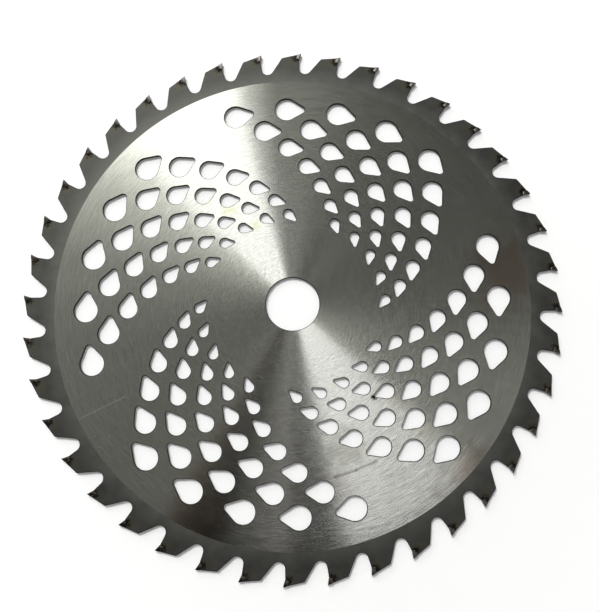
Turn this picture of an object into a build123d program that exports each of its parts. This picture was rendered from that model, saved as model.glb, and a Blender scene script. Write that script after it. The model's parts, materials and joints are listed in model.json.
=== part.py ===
import os
from math import acos, asin, cos, degrees, isclose, radians, sin, tan

from build123d import *

# Brush cutter blade: a flat perforated steel plate whose teeth carry brazed carbide tips.
# The blade lies flat on Z = 0 with its bore on the Z axis, and the first cutting edge is on +X.
# Seen from above, every tooth cuts clockwise. Lengths are in millimetres, angles in degrees.

# Plate and bore
blade_diameter = 255.0  # over the cutting edges
bore_diameter = 25.4
plate_thickness = 1.6

# Carbide tips
tooth_count = 40
tip_width = 2.4  # along the bore's axis, so a tip stands proud of both faces
tip_height = 3.5  # down the cutting face
tip_thickness = 1.8  # square to the cutting face
rake_angle = 15.5  # the cutting face leans forwards from the radius
clearance_angle = 14.4  # the land behind the edge falls away from the cutting circle
side_relief_angle = 1.5  # a tip gets narrower towards the bore

# Teeth
land_length = 9.9  # from the cutting edge to the heel, along the land
heel_radius = 0.8
gullet_depth = 10.6  # below the cutting circle
gullet_radius = 2.95
gullet_lead = 1.05  # angle by which a gullet's centre lies ahead of its cutting edge

# Teardrop holes, in groups of curved rows that spiral inwards
group_count = 4
row_count = 5  # in a group, and so the holes of one ring in a group
row_pitch = 15.0  # angle from row to row
rim_width = 19.1  # from the gullet floors in to the centres of the outermost ring of holes
ring_step = 10.2  # from the outermost ring to the next
ring_step_change = 0.5  # each further step is this much shorter
first_angle = 48.7  # where the outermost ring of the first group starts
twist_angle = 7.6  # each ring starts this much clockwise of the ring outside it
twist_change = 0.1  # each further twist is this much smaller
hole_radius = 5.55  # the round end of the outermost teardrops
hole_radius_change = 0.53  # each ring further in has round ends this much smaller
point_share = 0.3  # the rounding of a teardrop's point, as a share of its round end
neck_length = 1.75  # from the round end's rim to the centre of the point's rounding
point_lean = [3, 11, 9, 13, 26, 26, 44]  # how far the points of each ring turn inwards

cutting_radius = blade_diameter / 2
plate_bottom = (tip_width - plate_thickness) / 2
gullet_floor = cutting_radius - gullet_depth
tooth_pitch = 360 / tooth_count

# One tooth at the angle 0, its cutting edge seen end on at the corner of the cutting face and the land
cutting_edge = Vector(cutting_radius, 0)
down_face = Vector(-cos(radians(rake_angle)), sin(radians(rake_angle)))
across_tip = Vector(sin(radians(rake_angle)), cos(radians(rake_angle)))
along_land = Vector(-sin(radians(clearance_angle)), cos(radians(clearance_angle)))
seat_front = cutting_edge + down_face * tip_height
seat_corner = seat_front + across_tip * tip_thickness
seat_top = cutting_edge + along_land * (tip_thickness / cos(radians(rake_angle + clearance_angle)))
heel = cutting_edge + along_land * land_length


def turned(point, angle):
    return point.rotate(Axis.Z, angle)


def ring_radius(ring):
    return gullet_floor - rim_width - ring_step * ring + ring_step_change * ring * (ring - 1) / 2


def ring_angle(ring):
    return first_angle - twist_angle * ring + twist_change * ring * (ring - 1) / 2


# Where a line from a point outside a gullet touches its round floor, on the side given by +1 or -1
def touching_point(point, centre, side):
    outwards = point - centre
    spread = degrees(acos(gullet_radius / outwards.length))
    return centre + turned(outwards.normalized() * gullet_radius, side * spread)


# Draws the steel between the seats of two neighbouring tips: gullet, tooth back, land and seat.
# The teeth are drawn clockwise, so each gullet starts at its own tooth's seat and ends at the heel
# of the tooth ahead of it.
def tooth_outline(tooth):
    own = -tooth_pitch * tooth
    ahead = own - tooth_pitch
    centre = turned(Vector(gullet_floor + gullet_radius, 0), own - gullet_lead)
    lowest = turned(Vector(gullet_floor, 0), own - gullet_lead)
    front = Line(turned(seat_front, own), touching_point(turned(seat_front, own), centre, 1))
    back = Line(touching_point(turned(heel, ahead), centre, -1), turned(heel, ahead))
    ThreePointArc(front @ 1, lowest, back @ 0)
    Polyline(*[turned(corner, ahead) for corner in (heel, seat_top, seat_corner, seat_front)])


def is_heel(corner):
    return isclose(corner.center().length, heel.length, abs_tol=0.001)


# A round end at the origin and a small rounded point on +X, joined by two straight flanks
def teardrop_outline(ring):
    round_end = hole_radius - hole_radius_change * ring
    point_end = round_end * point_share
    length = round_end + neck_length
    flank = 90 - degrees(asin((round_end - point_end) / length))
    wide = CenterArc((0, 0), round_end, flank, 360 - 2 * flank)
    narrow = CenterArc((length, 0), point_end, -flank, 2 * flank)
    Line(wide @ 1, narrow @ 0)
    Line(narrow @ 1, wide @ 0)


# The plate is one flat outline with its bore and holes, cut from sheet
with BuildPart() as blade_plate:
    with BuildSketch(Plane.XY.offset(plate_bottom)) as plate_shape:
        with BuildLine():
            for tooth in range(tooth_count):
                tooth_outline(tooth)
        make_face()
        fillet(plate_shape.vertices().filter_by(is_heel), heel_radius)
        Circle(bore_diameter / 2, mode=Mode.SUBTRACT)
        for ring, lean in enumerate(point_lean):
            with BuildSketch(mode=Mode.PRIVATE) as teardrop:
                with BuildLine():
                    teardrop_outline(ring)
                make_face()
            for group in range(group_count):
                start = ring_angle(ring) + group * 360 / group_count
                span = row_pitch * (row_count - 1)
                with PolarLocations(ring_radius(ring), row_count, start, span, endpoint=True):
                    add(teardrop.sketch, rotation=-90 - lean, mode=Mode.SUBTRACT)
    extrude(amount=plate_thickness)
blade_plate.part.label = "blade_plate"

# A tip fills its seat flush with the tooth, and its two sides fall away from the cutting edge
with BuildPart() as carbide_tip:
    with BuildSketch():
        with BuildLine():
            Polyline(cutting_edge, seat_front, seat_corner, seat_top, close=True)
        make_face()
    extrude(amount=tip_width)
    relief = tan(radians(side_relief_angle))
    for height, up in ((tip_width, 1), (0, -1)):
        side = Plane(cutting_edge + Vector(0, 0, height), z_dir=(-relief, 0, up))
        split(bisect_by=side, keep=Keep.BOTTOM)

os.makedirs("parts", exist_ok=True)
export_step(blade_plate.part, "parts/blade_plate.step")
for tooth in range(tooth_count):
    with BuildPart() as seated_tip:
        with Locations(Rotation(0, 0, tooth * tooth_pitch)):
            add(carbide_tip.part)
    name = f"carbide_tip_{tooth + 1:02d}"
    seated_tip.part.label = name
    export_step(seated_tip.part, f"parts/{name}.step")
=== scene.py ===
import json
import math

import bpy
from mathutils import Matrix, Vector
from mathutils.geometry import intersect_line_line


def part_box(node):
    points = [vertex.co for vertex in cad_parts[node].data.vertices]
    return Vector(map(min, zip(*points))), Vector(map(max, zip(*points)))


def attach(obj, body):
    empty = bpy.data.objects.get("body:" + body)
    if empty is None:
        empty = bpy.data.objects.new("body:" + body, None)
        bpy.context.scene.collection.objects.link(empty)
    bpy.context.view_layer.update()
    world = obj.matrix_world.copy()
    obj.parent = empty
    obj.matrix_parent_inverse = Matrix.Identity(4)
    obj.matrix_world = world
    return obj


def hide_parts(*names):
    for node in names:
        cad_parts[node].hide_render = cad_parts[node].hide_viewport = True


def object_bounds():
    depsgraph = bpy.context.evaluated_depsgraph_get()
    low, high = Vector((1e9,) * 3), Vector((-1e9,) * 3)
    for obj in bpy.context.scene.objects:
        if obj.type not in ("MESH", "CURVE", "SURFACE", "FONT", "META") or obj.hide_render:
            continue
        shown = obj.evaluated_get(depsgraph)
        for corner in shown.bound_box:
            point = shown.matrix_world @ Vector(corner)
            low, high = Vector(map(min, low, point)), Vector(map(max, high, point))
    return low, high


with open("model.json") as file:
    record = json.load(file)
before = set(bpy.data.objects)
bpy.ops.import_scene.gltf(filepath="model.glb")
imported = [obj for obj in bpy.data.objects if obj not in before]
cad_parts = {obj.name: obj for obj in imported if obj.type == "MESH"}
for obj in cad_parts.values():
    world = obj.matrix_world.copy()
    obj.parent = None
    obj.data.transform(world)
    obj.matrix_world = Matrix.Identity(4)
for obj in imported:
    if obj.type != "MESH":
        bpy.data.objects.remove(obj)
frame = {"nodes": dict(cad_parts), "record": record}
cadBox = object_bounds()
print("frame loaded,", len(frame["nodes"]), "nodes")

# Sizes are millimetres and degrees, as on a drawing. The blade lies on Z = 0, its bore on the Z axis.
mm = 0.001
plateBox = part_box("blade_plate")
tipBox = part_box("carbide_tip_01")
boreMount = next(mount for mount in frame["record"]["mounts"] if mount["name"] == "bore")
blade = {
    "edgeRadius": cadBox[1].x / mm,  # to the cutting edges
    "boreRadius": boreMount["dims"]["r_mm"],
    "top": plateBox[1].z / mm,
    "bottom": plateBox[0].z / mm,
    "toothCount": 40,
    "sharpAngle": 40,  # edges that turn by more than this are rounded
}


def addNode(tree, kind, settings=None, inputs=None):
    node = tree.nodes.new(kind)
    for name, value in (settings or {}).items():
        setattr(node, name, value)
    for socket, values in (inputs or {}).items():  # a list links several, as Join Geometry takes
        for value in values if isinstance(values, list) else [values]:
            if isinstance(value, bpy.types.Node):
                value = value.outputs[0]
            if isinstance(value, bpy.types.NodeSocket):
                tree.links.new(value, node.inputs[socket])
            else:
                node.inputs[socket].default_value = value
    return node


def hexColour(code):
    # from a colour as a screen shows it to linear light
    channels = [int(code[i:i + 2], 16) / 255 for i in (1, 3, 5)]
    return tuple([c / 12.92 if c <= 0.04045 else ((c + 0.055) / 1.055) ** 2.4 for c in channels] + [1.0])


def startGeometryTree(name, sizes):
    tree = bpy.data.node_groups.new(name, "GeometryNodeTree")
    tree.interface.new_socket("Geometry", in_out="INPUT", socket_type="NodeSocketGeometry")
    for size, kind in sizes.items():
        tree.interface.new_socket(size, in_out="INPUT", socket_type=kind)
    tree.interface.new_socket("Geometry", in_out="OUTPUT", socket_type="NodeSocketGeometry")
    return tree, tree.nodes.new("NodeGroupInput")


def finishWithNodes(piece, tree, values):
    # Runs the tree on the piece and keeps the result as a plain mesh
    modifier = piece.modifiers.new(tree.name, "NODES")
    modifier.node_group = tree
    for socket in tree.interface.items_tree:
        if socket.in_out == "INPUT" and socket.name in values:
            modifier[socket.identifier] = values[socket.name]
    freezeModifiers(piece)


def freezeModifiers(piece):
    depsgraph = bpy.context.evaluated_depsgraph_get()
    evaluated = piece.evaluated_get(depsgraph)
    finished = bpy.data.meshes.new_from_object(evaluated, preserve_all_data_layers=True,
                                               depsgraph=depsgraph)
    finished.name = piece.name
    piece.modifiers.clear()
    piece.data = finished


def roundEdges(piece, width, material=-1):
    # material is a slot for the rounding alone, and -1 gives it that of the faces beside it
    piece.data.shade_smooth()
    edgeBreak = piece.modifiers.new("edgeBreak", "BEVEL")
    edgeBreak.width = width * mm
    edgeBreak.segments = 2
    edgeBreak.limit_method = "ANGLE"
    edgeBreak.angle_limit = math.radians(blade["sharpAngle"])
    edgeBreak.use_clamp_overlap = False
    edgeBreak.loop_slide = False
    edgeBreak.harden_normals = True
    edgeBreak.material = material
    freezeModifiers(piece)


def newPiece(name, corners, edges=(), faces=()):
    mesh = bpy.data.meshes.new(name)
    mesh.from_pydata([corner * mm for corner in corners], edges, faces)
    piece = bpy.data.objects.new(name, mesh)
    bpy.context.scene.collection.objects.link(piece)
    return piece


def turned(point, angle):
    return Matrix.Rotation(math.radians(angle), 3, "Z") @ point


# One tooth at the angle 0, as in the drawing of the blade; plate, tips and beads all start from it
tooth = {
    "rakeAngle": 15.5,
    "clearanceAngle": 14.4,
    "landLength": 9.9,
    "heelRadius": 0.8,
    "gulletDepth": 10.6,
    "gulletRadius": 2.95,
    "gulletLead": 1.05,
    "arcSteps": 9,
}
tip = {
    "height": 3.5,
    "thickness": 1.8,
    "top": tipBox[1].z / mm,
    "bottom": tipBox[0].z / mm,
    "sideRelief": 1.5,  # a tip gets narrower towards the bore
    "chamfer": 0.5,
    "chamferDepth": 0.18,
    "edgeBreak": 0.05,
}
rake, clearance = math.radians(tooth["rakeAngle"]), math.radians(tooth["clearanceAngle"])
cuttingEdge = Vector((blade["edgeRadius"], 0, 0))
downFace = Vector((-math.cos(rake), math.sin(rake), 0))
acrossTip = Vector((math.sin(rake), math.cos(rake), 0))
alongLand = Vector((-math.sin(clearance), math.cos(clearance), 0))
seatFront = cuttingEdge + downFace * tip["height"]
seatCorner = seatFront + acrossTip * tip["thickness"]
seatTop = cuttingEdge + alongLand * (tip["thickness"] / math.cos(rake + clearance))
heel = cuttingEdge + alongLand * tooth["landLength"]
toothPitch = 360 / blade["toothCount"]
gulletFloor = blade["edgeRadius"] - tooth["gulletDepth"]


def touchingPoint(point, centre, side):
    # where a line from the point touches the round gullet floor
    outwards = point - centre
    spread = math.degrees(math.acos(tooth["gulletRadius"] / outwards.length))
    return centre + turned(outwards.normalized() * tooth["gulletRadius"], side * spread)


def toothCorners():
    # from a tip's seat through the gullet to the next seat; each corner has its rounding
    nextHeel = turned(heel, -toothPitch)
    centre = turned(Vector((gulletFloor + tooth["gulletRadius"], 0, 0)), -tooth["gulletLead"])
    front = touchingPoint(seatFront, centre, 1)
    back = touchingPoint(nextHeel, centre, -1)
    gulletCorner = intersect_line_line(seatFront, front, nextHeel, back)[0]
    corners = [seatFront, gulletCorner, nextHeel]
    corners += [turned(point, -toothPitch) for point in (seatTop, seatCorner, seatFront)]
    return corners, [0, tooth["gulletRadius"], tooth["heelRadius"], 0, 0, 0]


def addCopiesRound(tree, geometry, count):
    # the same shape once for each tooth, clockwise round the bore
    centres = addNode(tree, "GeometryNodePoints", None, {"Count": count})
    index = addNode(tree, "GeometryNodeInputIndex")
    pitch = addNode(tree, "ShaderNodeMath", {"operation": "DIVIDE"}, {0: -math.tau, 1: count})
    turn = addNode(tree, "ShaderNodeMath", {"operation": "MULTIPLY"}, {0: index, 1: pitch})
    upright = addNode(tree, "ShaderNodeCombineXYZ", None, {2: turn})
    copies = addNode(tree, "GeometryNodeInstanceOnPoints", None,
                     {"Points": centres, "Instance": geometry, "Rotation": upright})
    return addNode(tree, "GeometryNodeRealizeInstances", None, {0: copies})


# Teardrop holes in groups of curved rows, ring by ring from the outermost one in
holes = {
    "groupCount": 4,
    "rowCount": 5,
    "rowPitch": 15.0,
    "rimWidth": 19.1,  # from the gullet floors to the outermost ring
    "ringStep": 10.2,
    "ringStepChange": 0.5,
    "firstAngle": 48.7,
    "twist": 7.6,
    "twistChange": 0.1,
    "roundEnd": 5.55,
    "roundEndChange": 0.53,
    "pointShare": 0.3,
    "neck": 1.75,
    "lean": [3, 11, 9, 13, 26, 26, 44],
    "outlinePoints": 56,
}


def ringOfHolesTree():
    # A ring of teardrops. A teardrop is a circle whose points past the flank move to a small circle.
    floats = ["Ring Radius", "First Angle", "Round End", "Neck", "Point Share", "Lean", "Row Pitch"]
    sizes = {name: "NodeSocketFloat" for name in floats}
    sizes |= {name: "NodeSocketInt" for name in ("Group Count", "Row Count", "Outline Points")}
    tree, given = startGeometryTree("ringOfHoles", sizes)
    size = given.outputs

    pointEnd = addNode(tree, "ShaderNodeMath", {"operation": "MULTIPLY"},
                       {0: size["Round End"], 1: size["Point Share"]})
    length = addNode(tree, "ShaderNodeMath", {"operation": "ADD"}, {0: size["Round End"], 1: size["Neck"]})
    taper = addNode(tree, "ShaderNodeMath", {"operation": "SUBTRACT"}, {0: size["Round End"], 1: pointEnd})
    flank = addNode(tree, "ShaderNodeMath", {"operation": "DIVIDE"}, {0: taper, 1: length})
    circle = addNode(tree, "GeometryNodeCurvePrimitiveCircle", None,
                     {"Resolution": size["Outline Points"], "Radius": 1.0})
    place = addNode(tree, "GeometryNodeInputPosition")
    across = addNode(tree, "ShaderNodeSeparateXYZ", None, {0: place})
    atPoint = addNode(tree, "FunctionNodeCompare", {"operation": "GREATER_THAN"}, {0: across, 1: flank})
    radius = addNode(tree, "GeometryNodeSwitch", {"input_type": "FLOAT"},
                     {0: atPoint, 1: size["Round End"], 2: pointEnd})
    shift = addNode(tree, "GeometryNodeSwitch", {"input_type": "FLOAT"}, {0: atPoint, 1: 0.0, 2: length})
    scaled = addNode(tree, "ShaderNodeVectorMath", {"operation": "SCALE"}, {0: place, "Scale": radius})
    sideways = addNode(tree, "ShaderNodeCombineXYZ", None, {0: shift})
    moved = addNode(tree, "ShaderNodeVectorMath", {"operation": "ADD"}, {0: scaled, 1: sideways})
    teardrop = addNode(tree, "GeometryNodeSetPosition", None, {"Geometry": circle, "Position": moved})

    index = addNode(tree, "GeometryNodeInputIndex")
    row = addNode(tree, "ShaderNodeMath", {"operation": "MODULO"}, {0: index, 1: size["Row Count"]})
    share = addNode(tree, "ShaderNodeMath", {"operation": "DIVIDE"}, {0: index, 1: size["Row Count"]})
    group = addNode(tree, "ShaderNodeMath", {"operation": "FLOOR"}, {0: share})
    groupPitch = addNode(tree, "ShaderNodeMath", {"operation": "DIVIDE"},
                         {0: math.tau, 1: size["Group Count"]})
    groupAngle = addNode(tree, "ShaderNodeMath", {"operation": "MULTIPLY_ADD"},
                         {0: group, 1: groupPitch, 2: size["First Angle"]})
    angle = addNode(tree, "ShaderNodeMath", {"operation": "MULTIPLY_ADD"},
                    {0: row, 1: size["Row Pitch"], 2: groupAngle})
    cosine = addNode(tree, "ShaderNodeMath", {"operation": "COSINE"}, {0: angle})
    sine = addNode(tree, "ShaderNodeMath", {"operation": "SINE"}, {0: angle})
    outwards = addNode(tree, "ShaderNodeCombineXYZ", None, {0: cosine, 1: sine})
    centre = addNode(tree, "ShaderNodeVectorMath", {"operation": "SCALE"},
                     {0: outwards, "Scale": size["Ring Radius"]})
    count = addNode(tree, "ShaderNodeMath", {"operation": "MULTIPLY"},
                    {0: size["Group Count"], 1: size["Row Count"]})
    centres = addNode(tree, "GeometryNodePoints", None, {"Count": count, "Position": centre})
    clockwise = addNode(tree, "ShaderNodeMath", {"operation": "SUBTRACT"}, {0: angle, 1: math.pi / 2})
    turn = addNode(tree, "ShaderNodeMath", {"operation": "SUBTRACT"}, {0: clockwise, 1: size["Lean"]})
    upright = addNode(tree, "ShaderNodeCombineXYZ", None, {2: turn})
    ring = addNode(tree, "GeometryNodeInstanceOnPoints", None,
                   {"Points": centres, "Instance": teardrop, "Rotation": upright})
    realized = addNode(tree, "GeometryNodeRealizeInstances", None, {0: ring})
    addNode(tree, "NodeGroupOutput", None, {0: realized})
    return tree


sheet = {
    "groundRadius": 112.6,  # the face is ground up to here, the rim outside keeps its dark temper
    "edgeBreak": 0.3,  # deburred edges
    "groundSteps": 240,
    "boreSteps": 120,
    "wallTurn": 0.5,  # a face is a cut wall where its normal points up or down by less than this share
    "weldGap": 0.001,
}


def plateTree(groundSteel, darkRim, cutEdge):
    floats = ["Bore Radius", "Ground Radius", "Top", "Thickness", "Weld Gap"]
    sizes = {name: "NodeSocketFloat" for name in floats}
    sizes |= {name: "NodeSocketInt" for name in ("Tooth Count", "Rounding Steps")}
    tree, given = startGeometryTree("toothedPlate", sizes)
    size = given.outputs
    teeth = addCopiesRound(tree, size["Geometry"], size["Tooth Count"])
    joined = addNode(tree, "GeometryNodeMergeByDistance", None,
                     {"Geometry": teeth, "Distance": size["Weld Gap"]})
    outline = addNode(tree, "GeometryNodeMeshToCurve", None, {0: joined})
    rounding = addNode(tree, "GeometryNodeInputNamedAttribute", {"data_type": "FLOAT"}, {"Name": "rounding"})
    rounded = addNode(tree, "GeometryNodeFilletCurve", {"mode": "POLY"},
                      {"Curve": outline, "Count": size["Rounding Steps"], "Radius": rounding})
    groundEdge = addNode(tree, "GeometryNodeCurvePrimitiveCircle", None,
                         {"Resolution": sheet["groundSteps"], "Radius": size["Ground Radius"]})
    bore = addNode(tree, "GeometryNodeCurvePrimitiveCircle", None,
                   {"Resolution": sheet["boreSteps"], "Radius": size["Bore Radius"]})
    cuts = [groundEdge, bore]
    ringTree = ringOfHolesTree()
    for ring, lean in enumerate(holes["lean"]):
        steps = ring * (ring - 1) / 2
        radius = gulletFloor - holes["rimWidth"] - holes["ringStep"] * ring + holes["ringStepChange"] * steps
        angle = holes["firstAngle"] - holes["twist"] * ring + holes["twistChange"] * steps
        cuts.append(addNode(tree, "GeometryNodeGroup", {"node_tree": ringTree}, {
            "Ring Radius": radius * mm,
            "First Angle": math.radians(angle),
            "Round End": (holes["roundEnd"] - holes["roundEndChange"] * ring) * mm,
            "Neck": holes["neck"] * mm,
            "Point Share": holes["pointShare"],
            "Lean": math.radians(lean),
            "Row Pitch": math.radians(holes["rowPitch"]),
            "Group Count": holes["groupCount"],
            "Row Count": holes["rowCount"],
            "Outline Points": holes["outlinePoints"],
        }))
    faces = []
    for curves, material in (([rounded, groundEdge], darkRim), (cuts, groundSteel)):
        together = addNode(tree, "GeometryNodeJoinGeometry", None, {0: curves})
        filled = addNode(tree, "GeometryNodeFillCurve", None, {0: together})
        faces.append(addNode(tree, "GeometryNodeSetMaterial", None,
                             {"Geometry": filled, "Material": material}))
    flat = addNode(tree, "GeometryNodeJoinGeometry", None, {0: faces})
    sealed = addNode(tree, "GeometryNodeMergeByDistance", None,
                     {"Geometry": flat, "Distance": size["Weld Gap"]})
    height = addNode(tree, "ShaderNodeCombineXYZ", None, {2: size["Top"]})
    topFace = addNode(tree, "GeometryNodeSetPosition", None, {"Geometry": sealed, "Offset": height})
    down = addNode(tree, "ShaderNodeCombineXYZ", None, {2: -1.0})
    walls = addNode(tree, "GeometryNodeExtrudeMesh", None,
                    {"Mesh": topFace, "Offset": down, "Offset Scale": size["Thickness"], "Individual": False})
    outwards = addNode(tree, "GeometryNodeFlipFaces", None, {0: walls})
    shell = addNode(tree, "GeometryNodeJoinGeometry", None, {0: [outwards, topFace]})
    solid = addNode(tree, "GeometryNodeMergeByDistance", None,
                    {"Geometry": shell, "Distance": size["Weld Gap"]})
    facing = addNode(tree, "GeometryNodeInputNormal")
    upwards = addNode(tree, "ShaderNodeSeparateXYZ", None, {0: facing})
    steep = addNode(tree, "ShaderNodeMath", {"operation": "ABSOLUTE"}, {0: upwards.outputs[2]})
    isWall = addNode(tree, "FunctionNodeCompare", {"operation": "LESS_THAN"},
                     {0: steep, 1: sheet["wallTurn"]})
    realized = addNode(tree, "GeometryNodeRealizeInstances", None, {0: solid})
    dressed = addNode(tree, "GeometryNodeSetMaterial", None,
                      {"Geometry": realized, "Selection": isWall, "Material": cutEdge})
    addNode(tree, "NodeGroupOutput", None, {0: dressed})
    return tree


def buildPlate(groundSteel, darkRim, cutEdge):
    corners, rounding = toothCorners()
    plate = newPiece("blade_plate_finished", corners, [(i, i + 1) for i in range(len(corners) - 1)])
    values = plate.data.attributes.new("rounding", "FLOAT", "POINT")
    for item, radius in zip(values.data, rounding):
        item.value = radius * mm
    finishWithNodes(plate, plateTree(groundSteel, darkRim, cutEdge), {
        "Tooth Count": blade["toothCount"],
        "Rounding Steps": tooth["arcSteps"],
        "Bore Radius": blade["boreRadius"] * mm,
        "Ground Radius": sheet["groundRadius"] * mm,
        "Top": blade["top"] * mm,
        "Thickness": (blade["top"] - blade["bottom"]) * mm,
        "Weld Gap": sheet["weldGap"] * mm,
    })
    # the rounding takes the cut edge's colour: a dark line that is partly laser scale, partly painted shade
    roundEdges(plate, sheet["edgeBreak"], list(plate.data.materials).index(cutEdge))
    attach(plate, "root")
    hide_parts("blade_plate")
    print("plate,", len(plate.data.polygons), "faces")


def tipTree(material):
    tree, given = startGeometryTree("carbideTips", {"Tooth Count": "NodeSocketInt"})
    tips = addCopiesRound(tree, given.outputs["Geometry"], given.outputs["Tooth Count"])
    dressed = addNode(tree, "GeometryNodeSetMaterial", None, {"Geometry": tips, "Material": material})
    addNode(tree, "NodeGroupOutput", None, {0: dressed})
    return tree


def buildTips(material):
    # A tip fills its seat and gets narrower towards the bore; its two sides have a ground chamfer
    slope = math.tan(math.radians(tip["sideRelief"]))
    outline = (cuttingEdge, seatFront, seatCorner, seatTop)
    middle = sum(outline, Vector()) / len(outline)
    corners = []
    for height, side, inset in ((tip["bottom"], -1, tip["chamfer"]), (tip["bottom"], -1, 0),
                                (tip["top"], 1, 0), (tip["top"], 1, tip["chamfer"])):
        for corner in outline:
            relief = slope * (corner.x - blade["edgeRadius"])
            drop = 0 if inset else tip["chamferDepth"]
            inwards = (middle - corner).normalized() * inset
            corners.append(Vector((corner.x, corner.y, height + side * (relief - drop))) + inwards)
    faces = [(0, 1, 2, 3), (15, 14, 13, 12)]
    for level in (0, 4, 8):
        faces += [(level + i, level + i + 4, level + (i + 1) % 4 + 4, level + (i + 1) % 4) for i in range(4)]
    tips = newPiece("carbide_tips_finished", corners, [], faces)
    roundEdges(tips, tip["edgeBreak"])
    finishWithNodes(tips, tipTree(material), {"Tooth Count": blade["toothCount"]})
    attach(tips, "root")
    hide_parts(*[f"carbide_tip_{number + 1:02d}" for number in range(blade["toothCount"])])
    print("tips,", len(tips.data.polygons), "faces")


bead = {
    "radius": 0.27,  # of the brazing alloy along a seat
    "unevenness": 0.4,  # share of the radius
    "steps": 14,
    "sides": 8,
    "seed": 7,
    "inset": 0.2,
}


def beadTree(material):
    # Along the seat, on both faces of the plate, thicker and thinner as the alloy ran
    sizes = {name: "NodeSocketFloat" for name in ("Radius", "Unevenness", "Drop")}
    sizes |= {name: "NodeSocketInt" for name in ("Tooth Count", "Steps", "Sides", "Seed")}
    tree, given = startGeometryTree("brazeBeads", sizes)
    size = given.outputs
    seats = addCopiesRound(tree, size["Geometry"], size["Tooth Count"])
    down = addNode(tree, "ShaderNodeCombineXYZ", None, {2: size["Drop"]})
    underside = addNode(tree, "GeometryNodeTransform", None, {"Geometry": seats, "Translation": down})
    both = addNode(tree, "GeometryNodeJoinGeometry", None, {0: [seats, underside]})
    paths = addNode(tree, "GeometryNodeMeshToCurve", None, {0: both})
    even = addNode(tree, "GeometryNodeResampleCurve", None, {"Curve": paths, "Count": size["Steps"]})
    index = addNode(tree, "GeometryNodeInputIndex")
    thinner = addNode(tree, "ShaderNodeMath", {"operation": "SUBTRACT"}, {0: 1.0, 1: size["Unevenness"]})
    thicker = addNode(tree, "ShaderNodeMath", {"operation": "ADD"}, {0: 1.0, 1: size["Unevenness"]})
    chance = addNode(tree, "FunctionNodeRandomValue", {"data_type": "FLOAT"},
                     {2: thinner, 3: thicker, "ID": index, "Seed": size["Seed"]})
    thickness = addNode(tree, "ShaderNodeMath", {"operation": "MULTIPLY"},
                        {0: chance.outputs[1], 1: size["Radius"]})
    sized = addNode(tree, "GeometryNodeSetCurveRadius", None, {"Curve": even, "Radius": thickness})
    profile = addNode(tree, "GeometryNodeCurvePrimitiveCircle", None,
                      {"Resolution": size["Sides"], "Radius": 1.0})
    swept = addNode(tree, "GeometryNodeCurveToMesh", None,
                    {"Curve": sized, "Profile Curve": profile, "Scale": thickness, "Fill Caps": True})
    realized = addNode(tree, "GeometryNodeRealizeInstances", None, {0: swept})
    dressed = addNode(tree, "GeometryNodeSetMaterial", None, {"Geometry": realized, "Material": material})
    addNode(tree, "NodeGroupOutput", None, {0: dressed})
    return tree


def buildBeads(material):
    path = [Vector((corner.x, corner.y, blade["top"])) for corner in (seatFront, seatCorner, seatTop)]
    path[0] += (path[1] - path[0]).normalized() * bead["inset"]
    path[2] += (path[1] - path[2]).normalized() * bead["inset"]
    beads = newPiece("braze_beads_finished", path, [(0, 1), (1, 2)])
    finishWithNodes(beads, beadTree(material), {
        "Radius": bead["radius"] * mm,
        "Unevenness": bead["unevenness"],
        "Drop": (blade["bottom"] - blade["top"]) * mm,
        "Tooth Count": blade["toothCount"],
        "Steps": bead["steps"],
        "Sides": bead["sides"],
        "Seed": bead["seed"],
    })
    beads.data.shade_smooth()
    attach(beads, "root")
    print("beads,", len(beads.data.polygons), "faces")


def startMetal(name, finish):
    material = bpy.data.materials.new(name)
    material.use_nodes = True
    shader = material.node_tree.nodes["Principled BSDF"]
    shader.inputs["Base Color"].default_value = hexColour(finish["colour"])
    shader.inputs["Metallic"].default_value = 1.0
    shader.inputs["Roughness"].default_value = finish["roughness"]
    return material, material.node_tree, shader


def addRings(tree):
    # Distance from the bore's axis and the direction outwards, which the ground marks follow
    place = addNode(tree, "ShaderNodeTexCoord").outputs["Object"]
    flat = addNode(tree, "ShaderNodeVectorMath", {"operation": "MULTIPLY"}, {0: place, 1: (1, 1, 0)})
    distance = addNode(tree, "ShaderNodeVectorMath", {"operation": "LENGTH"}, {0: flat}).outputs["Value"]
    outwards = addNode(tree, "ShaderNodeVectorMath", {"operation": "NORMALIZE"}, {0: flat})
    return place, distance, outwards.outputs[0]


def addNoise(tree, place, size, detail):
    # clouds of about this size in millimetres
    scaled = addNode(tree, "ShaderNodeVectorMath", {"operation": "SCALE"},
                     {0: place, "Scale": 1 / (size * mm)})
    noise = addNode(tree, "ShaderNodeTexNoise", None, {"Vector": scaled, "Scale": 1.0, "Detail": detail})
    return noise.outputs["Fac"]


def addGrooves(tree, distance, outwards, width, length, seed):
    # Noise drawn out along circles round the bore: width across a groove, length along it half way out
    across = addNode(tree, "ShaderNodeMath", {"operation": "MULTIPLY_ADD"},
                     {0: distance, 1: 1 / (width * mm), 2: seed})
    along = addNode(tree, "ShaderNodeVectorMath", {"operation": "SCALE"},
                    {0: outwards, "Scale": steel["halfWayOut"] / length})
    upright = addNode(tree, "ShaderNodeCombineXYZ", None, {2: across})
    point = addNode(tree, "ShaderNodeVectorMath", {"operation": "ADD"}, {0: along, 1: upright})
    noise = addNode(tree, "ShaderNodeTexNoise", None, {"Vector": point, "Scale": 1.0, "Detail": 1.0})
    return noise.outputs["Fac"]


def addTint(tree, colour, cover, tint, blend="MULTIPLY"):
    # cover says where, from 0 to 1, and the tint multiplies the colour there or takes its place
    mix = addNode(tree, "ShaderNodeMix", {"data_type": "RGBA", "blend_type": blend},
                  {0: cover, 7: hexColour(tint)})
    tree.links.new(colour, mix.inputs[6])
    return mix.outputs[2]


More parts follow.
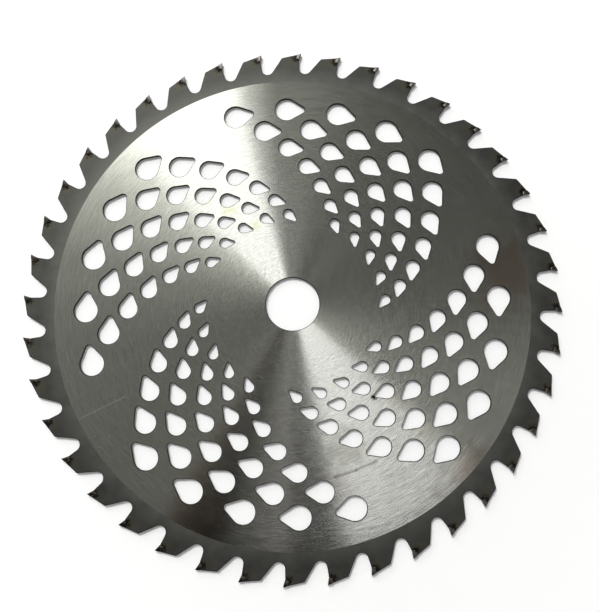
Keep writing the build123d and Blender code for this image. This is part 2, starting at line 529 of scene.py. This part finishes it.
def addBlot(tree, place, measured, middle, blot, edge):
    # a round blot with a ragged edge, round a middle from which the measured place counts
    radius, strength, cloud = blot
    away = addNode(tree, "ShaderNodeVectorMath", {"operation": "DISTANCE"},
                   {0: measured, 1: Vector(middle) * mm})
    ragged = addNode(tree, "ShaderNodeMath", {"operation": "MULTIPLY_ADD"},
                     {0: addNoise(tree, place, cloud, edge["detail"]), 1: radius * edge["ragged"] * mm,
                      2: away.outputs["Value"]})
    cover = addNode(tree, "ShaderNodeMapRange", {"interpolation_type": "SMOOTHSTEP"},
                    {"Value": ragged, "From Min": radius * edge["outer"] * mm,
                     "From Max": radius * edge["inner"] * mm, "To Max": strength})
    return cover.outputs["Result"]


def addScratch(tree, place, start, end, width, strength):
    # a straight scratch between two points of the top face
    begin = Vector((*start, blade["top"])) * mm
    run = Vector((end[0] - start[0], end[1] - start[1], 0)) * mm
    gap = addNode(tree, "ShaderNodeVectorMath", {"operation": "SUBTRACT"}, {0: place, 1: begin})
    along = addNode(tree, "ShaderNodeVectorMath", {"operation": "DOT_PRODUCT"},
                    {0: gap, 1: run / run.length_squared})
    share = addNode(tree, "ShaderNodeClamp", None, {"Value": along.outputs["Value"]})
    nearest = addNode(tree, "ShaderNodeVectorMath", {"operation": "SCALE"}, {0: run, "Scale": share})
    away = addNode(tree, "ShaderNodeVectorMath", {"operation": "DISTANCE"}, {0: gap, 1: nearest})
    cover = addNode(tree, "ShaderNodeMapRange", None,
                    {"Value": away.outputs["Value"], "From Min": width * mm, "From Max": 0.0,
                     "To Max": strength})
    return cover.outputs["Result"]


steel = {
    "colour": "#aeafa4",
    "roughness": 0.135,
    # width and length in millimetres, depth as a slope, and where in the noise they start: the real
    # grinding marks, which spread the light, and marks drawn as coarse as it takes to see them at all
    "grooves": [(0.008, 4, 0.7, 3.0), (0.45, 6, 0.14, 11.0)],
    "streak": (0.4, 6, 0.42, 5.0),  # lighter and darker marks, coarse too, depth as a share of the colour
    "halfWayOut": 80,
    "easeStart": 106.5,  # the wheel eased off towards the rim and left the face a little hollow
    "easeEnd": 108.5,
    "easeSlope": 0.02,
    # yellowish marks and brownish stains of old handling, wider pinkish and brownish tints, a neutral patch
    # that darkens the face, and a dark pit: middle, (radius, strength, size of the ragged edge), colour
    "blots": [
        ((100, 20), (20, 0.9, 14), "#e2d0c8"),
        ((86, -78), (17, 0.85, 12), "#d6c8c0"),
        ((-44, 52), (5, 0.7, 4), "#f4f4d8"),
        ((-32, 45), (4, 0.8, 4), "#f2f2d4"),
        ((-19, 38), (3, 0.7, 3), "#f2f2d8"),
        ((51, -43.5), (5, 0.4, 4), "#e2d8cc"),
        ((63, -57), (6, 0.45, 5), "#e4d8cc"),
        ((39.1, -42.5), (1.6, 1.0, 1), "#1a1816"),
        ((-38, -98), (13, 0.6, 12), "#dccfc6"),
        ((20, -85), (12, 0.5, 9), "#e4dcdc"),
        ((27, -66), (10, 0.9, 6), "#d8d6d2"),
    ],
    "blotEdge": {"detail": 3.0, "ragged": 1.6, "outer": 2.1, "inner": 1.0},
    # start, end, half width, strength, colour
    "scratches": [
        ((21.9, -79.1), (31.5, -75.8), 1.0, 0.65, "#5a5752"),
        ((31.5, -75.8), (40.4, -71.4), 0.9, 0.6, "#5a5752"),
        ((-96.1, -56.7), (-75.9, -45.9), 0.6, 0.35, "#e0e0d8"),
    ],
}


def groundSteelMaterial():
    # Bright steel ground in circles round the bore: light draws out into a fan through the centre
    material, tree, shader = startMetal("groundSteel", steel)
    place, distance, outwards = addRings(tree)
    ease = addNode(tree, "ShaderNodeMapRange", {"interpolation_type": "SMOOTHSTEP"},
                   {"Value": distance, "From Min": steel["easeStart"] * mm, "From Max": steel["easeEnd"] * mm,
                    "To Max": steel["easeSlope"]})
    slope = ease.outputs["Result"]
    for width, length, depth, seed in steel["grooves"]:
        noise = addGrooves(tree, distance, outwards, width, length, seed)
        centred = addNode(tree, "ShaderNodeMath", {"operation": "SUBTRACT"}, {0: noise, 1: 0.5})
        slope = addNode(tree, "ShaderNodeMath", {"operation": "MULTIPLY_ADD"},
                        {0: centred, 1: depth, 2: slope})
    tilt = addNode(tree, "ShaderNodeVectorMath", {"operation": "SCALE"}, {0: outwards, "Scale": slope})
    facing = addNode(tree, "ShaderNodeNewGeometry").outputs["Normal"]
    bent = addNode(tree, "ShaderNodeVectorMath", {"operation": "ADD"}, {0: facing, 1: tilt})
    normal = addNode(tree, "ShaderNodeVectorMath", {"operation": "NORMALIZE"}, {0: bent})
    tree.links.new(normal.outputs[0], shader.inputs["Normal"])
    tree.links.new(outwards, shader.inputs["Tangent"])
    shader.inputs["Anisotropic"].default_value = 1.0

    width, length, depth, seed = steel["streak"]
    streak = addGrooves(tree, distance, outwards, width, length, seed)
    shade = addNode(tree, "ShaderNodeMapRange", None,
                    {"Value": streak, "To Min": 1 - depth / 2, "To Max": 1 + depth / 2})
    colour = addNode(tree, "ShaderNodeVectorMath", {"operation": "SCALE"},
                     {0: hexColour(steel["colour"])[:3], "Scale": shade}).outputs[0]
    for middle, blot, tint in steel["blots"]:
        cover = addBlot(tree, place, place, (*middle, blade["top"]), blot, steel["blotEdge"])
        colour = addTint(tree, colour, cover, tint)
    for start, end, width, strength, tint in steel["scratches"]:
        cover = addScratch(tree, place, start, end, width, strength)
        colour = addTint(tree, colour, cover, tint, "MIX")
    tree.links.new(colour, shader.inputs["Base Color"])
    return material


rim = {
    "colour": "#6c6c66",
    "roughness": 0.46,
    "mottle": 6,
    "mottleDetail": 3.0,
    "mottleReach": (0.3, 0.7),  # the part of the noise that the shade and gloss are spread over
    "mottleShade": (0.86, 1.14),
    "mottleGloss": 0.05,
    # between these radii the colour goes from the inner to the outer share: painted sheen and shade for the
    # shine falling off outwards
    "darkStart": 113,
    "darkEnd": 120,
    "innerShare": 1.1,
    "outerShare": 0.74,
    # on the first tooth, brass-brown heat colour towards the heel and black flux round the seat:
    # middle, (radius, strength, size of the ragged edge), colour
    "burns": [
        ((123.2, 4.6), (2.1, 0.55, 1.4), "#66604a"),
        ((125.0, 2.4), (2.4, 0.9, 1.2), "#1b1814"),
    ],
    "burnEdge": {"detail": 2.0, "ragged": 2.0, "outer": 2.2, "inner": 1.3},
}


def darkRimMaterial():
    # Satin tempered steel with a soft, dim shine; its colour is painted lighter inside and darker outwards,
    # as painted sheen and shade where the shine falls off, and burnt flux at every seat
    material, tree, shader = startMetal("temperedRim", rim)
    place, distance = addRings(tree)[:2]
    mottle = addNoise(tree, place, rim["mottle"], rim["mottleDetail"])
    shade = addNode(tree, "ShaderNodeMapRange", None,
                    {"Value": mottle, "From Min": rim["mottleReach"][0], "From Max": rim["mottleReach"][1],
                     "To Min": rim["mottleShade"][0], "To Max": rim["mottleShade"][1]})
    # painted sheen and shade: the colour is raised by the ground face and lowered towards the teeth
    outer = addNode(tree, "ShaderNodeMapRange", None,
                    {"Value": distance, "From Min": rim["darkStart"] * mm, "From Max": rim["darkEnd"] * mm,
                     "To Min": rim["innerShare"], "To Max": rim["outerShare"]})
    both = addNode(tree, "ShaderNodeMath", {"operation": "MULTIPLY"}, {0: shade, 1: outer})
    colour = addNode(tree, "ShaderNodeVectorMath", {"operation": "SCALE"},
                     {0: hexColour(rim["colour"])[:3], "Scale": both}).outputs[0]

    # every tooth turned back onto the first one, so that its burns sit on all, each with other noise
    parts = addNode(tree, "ShaderNodeSeparateXYZ", None, {0: place}).outputs
    pitch = math.radians(toothPitch)
    angle = addNode(tree, "ShaderNodeMath", {"operation": "ARCTAN2"}, {0: parts["Y"], 1: parts["X"]})
    pitches = addNode(tree, "ShaderNodeMath", {"operation": "DIVIDE"}, {0: angle, 1: pitch})
    nearest = addNode(tree, "ShaderNodeMath", {"operation": "ROUND"}, {0: pitches})
    back = addNode(tree, "ShaderNodeMath", {"operation": "MULTIPLY"}, {0: nearest, 1: -pitch})
    onFirst = addNode(tree, "ShaderNodeVectorRotate", {"rotation_type": "Z_AXIS"},
                      {"Vector": place, "Angle": back})
    flat = addNode(tree, "ShaderNodeVectorMath", {"operation": "MULTIPLY"}, {0: onFirst, 1: (1, 1, 0)})
    for middle, blot, tint in rim["burns"]:
        cover = addBlot(tree, place, flat, (*middle, 0), blot, rim["burnEdge"])
        colour = addTint(tree, colour, cover, tint, "MIX")
    tree.links.new(colour, shader.inputs["Base Color"])
    gloss = addNode(tree, "ShaderNodeMapRange", None,
                    {"Value": mottle, "From Min": rim["mottleReach"][0], "From Max": rim["mottleReach"][1],
                     "To Min": rim["roughness"] - rim["mottleGloss"],
                     "To Max": rim["roughness"] + rim["mottleGloss"]})
    tree.links.new(gloss.outputs[0], shader.inputs["Roughness"])
    return material


# laser scale, darkened further as painted shade for the shadows along the cut edges
cut = {"colour": "#2a2723", "roughness": 0.5}
carbide = {"colour": "#72706c", "roughness": 0.25}
alloy = {
    "colour": "#8a7650",
    "roughness": 0.35,
    "flux": "#1c1712",
    "fluxSize": 0.9,
    "fluxDetail": 2.0,
    "fluxEdge": (0.60, 0.52),
}


def cutEdgeMaterial():
    # Scale left by the laser in every cut, made darker still as painted shade for the shadows along the cuts:
    # a dull, nearly black line round teeth and holes
    return startMetal("laserCutEdge", cut)[0]


def carbideMaterial():
    # Ground sintered carbide: grey, and sharp enough to flash where it meets the light
    return startMetal("sinteredCarbide", carbide)[0]


def brazeMaterial():
    # Brass-coloured alloy under burnt black flux: golden specks at the seats
    material, tree, shader = startMetal("brazingAlloy", alloy)
    place = addNode(tree, "ShaderNodeTexCoord").outputs["Object"]
    noise = addNoise(tree, place, alloy["fluxSize"], alloy["fluxDetail"])
    cover = addNode(tree, "ShaderNodeMapRange", None,
                    {"Value": noise, "From Min": alloy["fluxEdge"][0], "From Max": alloy["fluxEdge"][1]})
    mix = addNode(tree, "ShaderNodeMix", {"data_type": "RGBA"},
                  {0: cover, 6: hexColour(alloy["colour"]), 7: hexColour(alloy["flux"])})
    tree.links.new(mix.outputs[2], shader.inputs["Base Color"])
    return material


camera = {"place": (5.2, -52.1, 319.1), "aim": (3.55, -0.91, 2.0), "lens": 39.96}


def addCamera():
    data = bpy.data.cameras.new("camera")
    data.lens = camera["lens"]
    view = bpy.data.objects.new("camera", data)
    place, aim = Vector(camera["place"]), Vector(camera["aim"])
    view.location = place * mm
    view.rotation_euler = (aim - place).to_track_quat("-Z", "Y").to_euler()
    bpy.context.scene.collection.objects.link(view)
    bpy.context.scene.camera = view


# A key lamp near the softbox's place that only lights the floor: the steel shows the softbox itself
key = {"azimuth": 126, "elevation": 56.5, "distance": 1500, "size": 300, "watts": 12.4}


def addKey():
    data = bpy.data.lights.new("key", "AREA")
    data.size = key["size"] * mm
    data.energy = key["watts"]
    lamp = bpy.data.objects.new("key", data)
    elevation = math.radians(key["elevation"])
    direction = turned(Vector((math.cos(elevation), 0, math.sin(elevation))), key["azimuth"])
    lamp.location = direction * key["distance"] * mm
    lamp.rotation_euler = (-direction).to_track_quat("-Z", "Y").to_euler()
    lamp.visible_glossy = False
    bpy.context.scene.collection.objects.link(lamp)


studio = {
    "centre": (-0.016, 0.163),  # where the walls' azimuth is counted from, as part of a level direction
    "strength": 0.5,
    # azimuth, light near the zenith, light further down, tint: a softbox from 108 to 138, and a window
    # opposite it from 285 to 319; a Color Ramp takes 32 of these
    "walls": [
        (0, 0.44, 0.18, "#ffffff"), (35, 0.42, 0.2, "#ffffff"), (60, 0.6, 0.35, "#ffffff"),
        (72, 0.64, 0.45, "#ffffff"), (90, 0.76, 0.88, "#ffffff"), (99, 0.7, 0.76, "#ffffff"),
        (103.5, 1.4, 0.76, "#f8f8ff"), (106, 5.3, 1.4, "#f8f8ff"), (108.3, 5.2, 6.6, "#f8f8ff"),
        (138.2, 5.7, 6.6, "#f8f8ff"), (140.8, 1.9, 3.8, "#ffffff"), (148.5, 1.52, 2.95, "#ffffff"),
        (152, 1.65, 2.15, "#ffffff"), (170, 0.99, 0.8, "#ffffff"), (179.9, 0.78, 0.76, "#ffffff"),
        (180, 0.78, 0.76, "#ffffff"), (195, 0.48, 0.5, "#ffffff"), (225, 0.57, 0.36, "#fafffc"),
        (240, 0.8, 0.48, "#ffffff"), (243, 0.36, 0.35, "#ffe0d0"), (246, 0.01, 0.2, "#ffe0d0"),
        (254.5, 0.01, 0.06, "#ffe0d0"), (259, 0.25, 0.42, "#ffffff"), (264, 0.48, 0.78, "#fffaff"),
        (270, 0.38, 1.25, "#fffaff"), (272, 0.24, 0.3, "#fffaff"), (282.8, 0.24, 0.29, "#fffaff"),
        (285.2, 5.1, 2.9, "#f6f6ff"), (292, 3.8, 4.0, "#f6f6ff"), (318.8, 4.3, 2.1, "#f6f6ff"),
        (320.5, 0.6, 0.45, "#ffffff"), (346, 0.58, 0.34, "#ffffff")],
    "wallsReach": (0.08, 0.29),
    # azimuth and light lower down, where the rim and the sides look
    "lowWalls": [
        (0, 0.6), (20, 0.3), (60, 0.15), (97, 0.6), (108, 6.3), (140, 6), (150, 2.8), (172, 1.0),
        (190, 0.75), (225, 0.5), (240, 0.35), (246, 0.02), (255, 0.02), (262, 0.02), (300, 0.02),
        (319, 0.5), (340, 0.9)],
    "lowReach": (0.34, 0.44),
}


def addWalls(tree, turn, walls):
    # turn is 0 at the azimuth 180 and rises to 1 all the way round
    ramp = addNode(tree, "ShaderNodeValToRGB", None, {"Fac": turn})
    stops = ramp.color_ramp.elements
    stops.remove(stops[1])
    placed = sorted(((azimuth + 180) % 360 / 360, light, tint) for azimuth, light, tint in walls)
    for number, (place, light, tint) in enumerate(placed):
        stop = stops.new(place) if number else stops[0]
        stop.position = place
        stop.color = [light * channel for channel in hexColour(tint)[:3]] + [1]
    return ramp


def addWorld():
    # Walls and softbox are in the world, so that they stand at the same angles for all of the blade
    world = bpy.data.worlds.new("studio")
    world.use_nodes = True
    bpy.context.scene.world = world
    tree = world.node_tree
    direction = addNode(tree, "ShaderNodeTexCoord").outputs["Generated"]
    centred = addNode(tree, "ShaderNodeVectorMath", {"operation": "SUBTRACT"},
                      {0: direction, 1: (*studio["centre"], 0)})
    turn = addNode(tree, "ShaderNodeTexGradient", {"gradient_type": "RADIAL"}, {"Vector": centred})
    flat = addNode(tree, "ShaderNodeVectorMath", {"operation": "MULTIPLY"}, {0: centred, 1: (1, 1, 0)})
    reach = addNode(tree, "ShaderNodeVectorMath", {"operation": "LENGTH"}, {0: flat}).outputs["Value"]

    light = addWalls(tree, turn, [(azimuth, near, tint) for azimuth, near, far, tint in studio["walls"]])
    further = addWalls(tree, turn, [(azimuth, far, tint) for azimuth, near, far, tint in studio["walls"]])
    low = addWalls(tree, turn, [(azimuth, grey, "#ffffff") for azimuth, grey in studio["lowWalls"]])
    for walls, reaches in ((further, studio["wallsReach"]), (low, studio["lowReach"])):
        out = addNode(tree, "ShaderNodeMapRange", None,
                      {"Value": reach, "From Min": reaches[0], "From Max": reaches[1]})
        light = addNode(tree, "ShaderNodeMix", {"data_type": "RGBA"}, {0: out, 6: light, 7: walls}).outputs[2]
    tree.links.new(light, tree.nodes["Background"].inputs["Color"])
    tree.nodes["Background"].inputs["Strength"].default_value = studio["strength"]


backdrop = {
    "rings": [1, 300, 1000, 1500, 1750, 2000, 2250, 2500],  # radii, the last four on the cove
    "sides": 64,
    "coveStart": 1500,
    "coveHeight": 700,
    "colour": "#f9f9f7",
    "roughness": 0.9,
    "glow": (0.12, 1.0),  # seen, but lights nothing: little by the blade, where it would hide shadows
    "glowReach": (130, 1500),
}


def paleFloorMaterial():
    # Matt white board: no shine, only a soft shadow
    material = bpy.data.materials.new("paleFloor")
    material.use_nodes = True
    tree = material.node_tree
    shader = tree.nodes["Principled BSDF"]
    shader.inputs["Base Color"].default_value = hexColour(backdrop["colour"])
    shader.inputs["Roughness"].default_value = backdrop["roughness"]
    shader.inputs["Specular IOR Level"].default_value = 0.0
    shader.inputs["Emission Color"].default_value = (1, 1, 1, 1)
    rays = addNode(tree, "ShaderNodeLightPath").outputs
    seen = addNode(tree, "ShaderNodeMath", {"operation": "ADD"},
                   {0: rays["Is Camera Ray"], 1: rays["Is Glossy Ray"]})
    seen = addNode(tree, "ShaderNodeMath", {"operation": "ADD", "use_clamp": True},
                   {0: seen, 1: rays["Is Transmission Ray"]})
    place = addNode(tree, "ShaderNodeTexCoord").outputs["Object"]
    away = addNode(tree, "ShaderNodeVectorMath", {"operation": "LENGTH"}, {0: place}).outputs["Value"]
    paler = addNode(tree, "ShaderNodeMapRange", None, {
        "Value": away, "From Min": backdrop["glowReach"][0] * mm, "From Max": backdrop["glowReach"][1] * mm,
        "To Min": backdrop["glow"][0], "To Max": backdrop["glow"][1]})
    glow = addNode(tree, "ShaderNodeMath", {"operation": "MULTIPLY"}, {0: seen, 1: paler})
    tree.links.new(glow.outputs[0], shader.inputs["Emission Strength"])
    return material


def buildFloor():
    # A round floor whose edge curves up behind the blade from every side
    rings, sides = backdrop["rings"], backdrop["sides"]
    corners, faces = [], []
    for radius in rings:
        rise = max(0.0, (radius - backdrop["coveStart"]) / (rings[-1] - backdrop["coveStart"]))
        level = backdrop["coveHeight"] * rise ** 2
        corners += [turned(Vector((radius, 0, level)), 360 * side / sides) for side in range(sides)]
    for ring in range(len(rings) - 1):
        for side in range(sides):
            here, beside = ring * sides + side, ring * sides + (side + 1) % sides
            faces.append((here, here + sides, beside + sides, beside))
    faces.append(tuple(range(sides)))
    floor = newPiece("floor", corners, [], faces)
    floor.data.shade_smooth()
    floor.data.materials.append(paleFloorMaterial())


buildPlate(groundSteelMaterial(), darkRimMaterial(), cutEdgeMaterial())
buildTips(carbideMaterial())
buildBeads(brazeMaterial())

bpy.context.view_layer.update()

addCamera()
addKey()
addWorld()
buildFloor()
print("camera, light and floor ready")
bpy.context.scene.view_settings.view_transform = "Standard"
